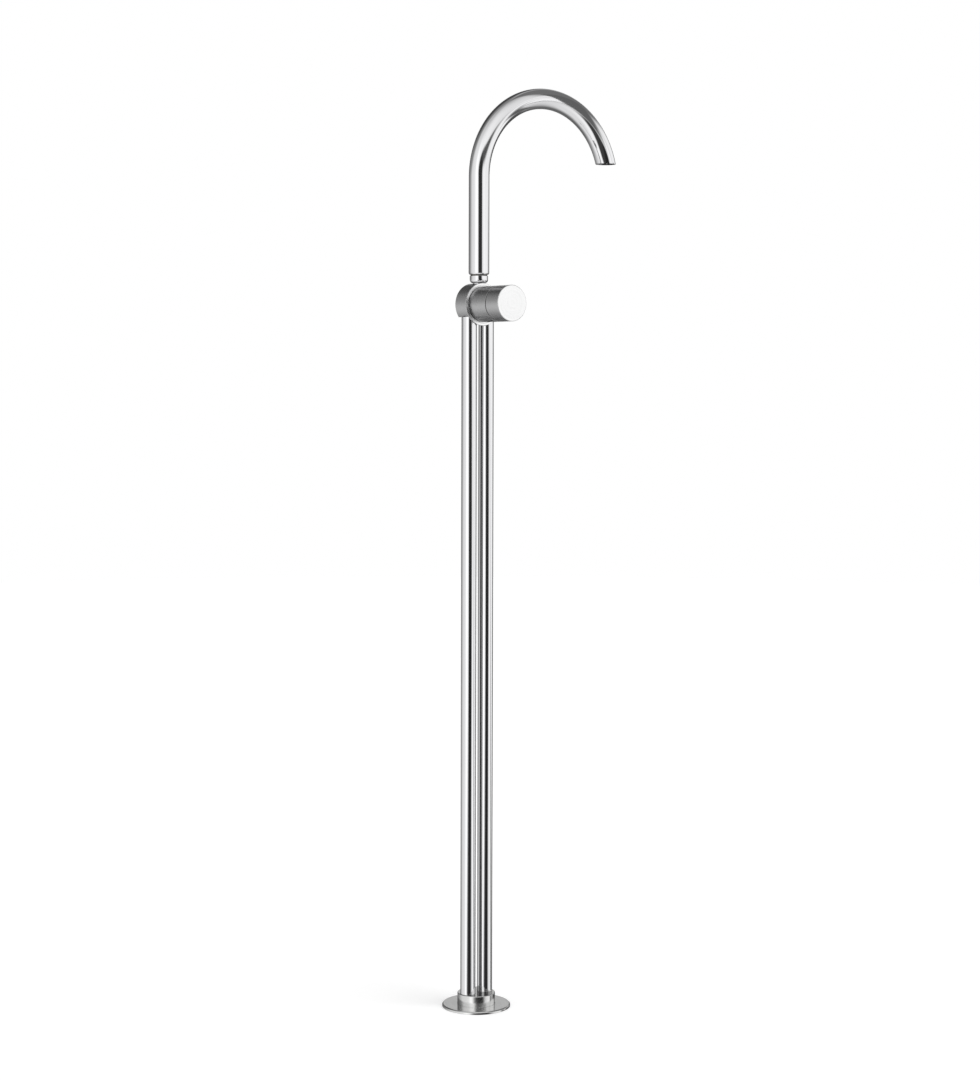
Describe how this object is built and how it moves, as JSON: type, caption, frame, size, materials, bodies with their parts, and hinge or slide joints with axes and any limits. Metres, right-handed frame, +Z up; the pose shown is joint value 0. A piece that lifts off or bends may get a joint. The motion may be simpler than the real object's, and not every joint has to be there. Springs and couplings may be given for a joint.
{
  "type": "floor-standing basin mixer",
  "caption": "Floor-standing basin mixer: paired upright pipes on a round rosette, a drum-shaped mixing head with a turning side knob, and a swivelling swan-neck spout.",
  "frame": {"origin": "centre of the base on the floor, midway between the two pipes", "axes": "+Z up along the pipes, +X where the spout points at rest, -Y where the knob points"},
  "size_m": [0.258, 0.1122, 1.1481],
  "materials": {
    "tube_steel": "finely brushed along the tube, close to a polish",
    "head_steel": "brushed round the axis, satin",
    "base_steel": "brushed, satin",
    "screw_steel": "plain",
    "brass": "turned",
    "rubber": "matt",
    "ceramic": "lapped ceramic, glossy",
    "resin": "moulded",
    "dark_resin": "moulded"
  },
  "bodies": {
    "stand": {"base_plate": "base_steel", "rosette": "base_steel", "foot_collar": "base_steel", "collar_screws": "screw_steel", "pipe_hot": "tube_steel", "pipe_cold": "tube_steel", "inlet_bush_hot": "brass", "inlet_bush_cold": "brass", "nipple_hot": "brass", "nipple_cold": "brass", "nipple_orings": "rubber", "mixer_body": "head_steel", "front_ring": "head_steel", "sleeve": "head_steel", "sleeve_oring": "rubber", "cartridge_base": "resin", "port_seals": "rubber", "cartridge_housing": "resin", "fixed_disc": "ceramic", "retaining_nut": "brass", "spout_socket": "tube_steel", "socket_washer": "dark_resin", "lock_screw": "screw_steel"},
    "handle": {"moving_disc": "ceramic", "disc_carrier": "dark_resin", "spindle": "brass", "spindle_oring": "rubber", "knob": "head_steel", "knob_insert": "dark_resin", "knob_screw": "screw_steel"},
    "spout": {"swivel_ring": "dark_resin", "spout_tube": "tube_steel", "spout_spigot": "brass", "spigot_orings": "rubber", "mouth_bush": "brass", "aerator_housing": "resin", "aerator_screen": "dark_resin", "aerator_seal": "rubber"}
  },
  "joints": [
    {"name": "knob_turn", "type": "hinge", "parent": "stand", "child": "handle", "pos_m": [0, -0.0522, 0.876], "axis": [0, -1, 0], "range_deg": [0, 100]},
    {"name": "spout_swivel", "type": "hinge", "parent": "stand", "child": "spout", "pos_m": [0, -0.0022, 0.9113], "axis": [0, 0, 1], "range_deg": [-60, 60]}
  ]
}
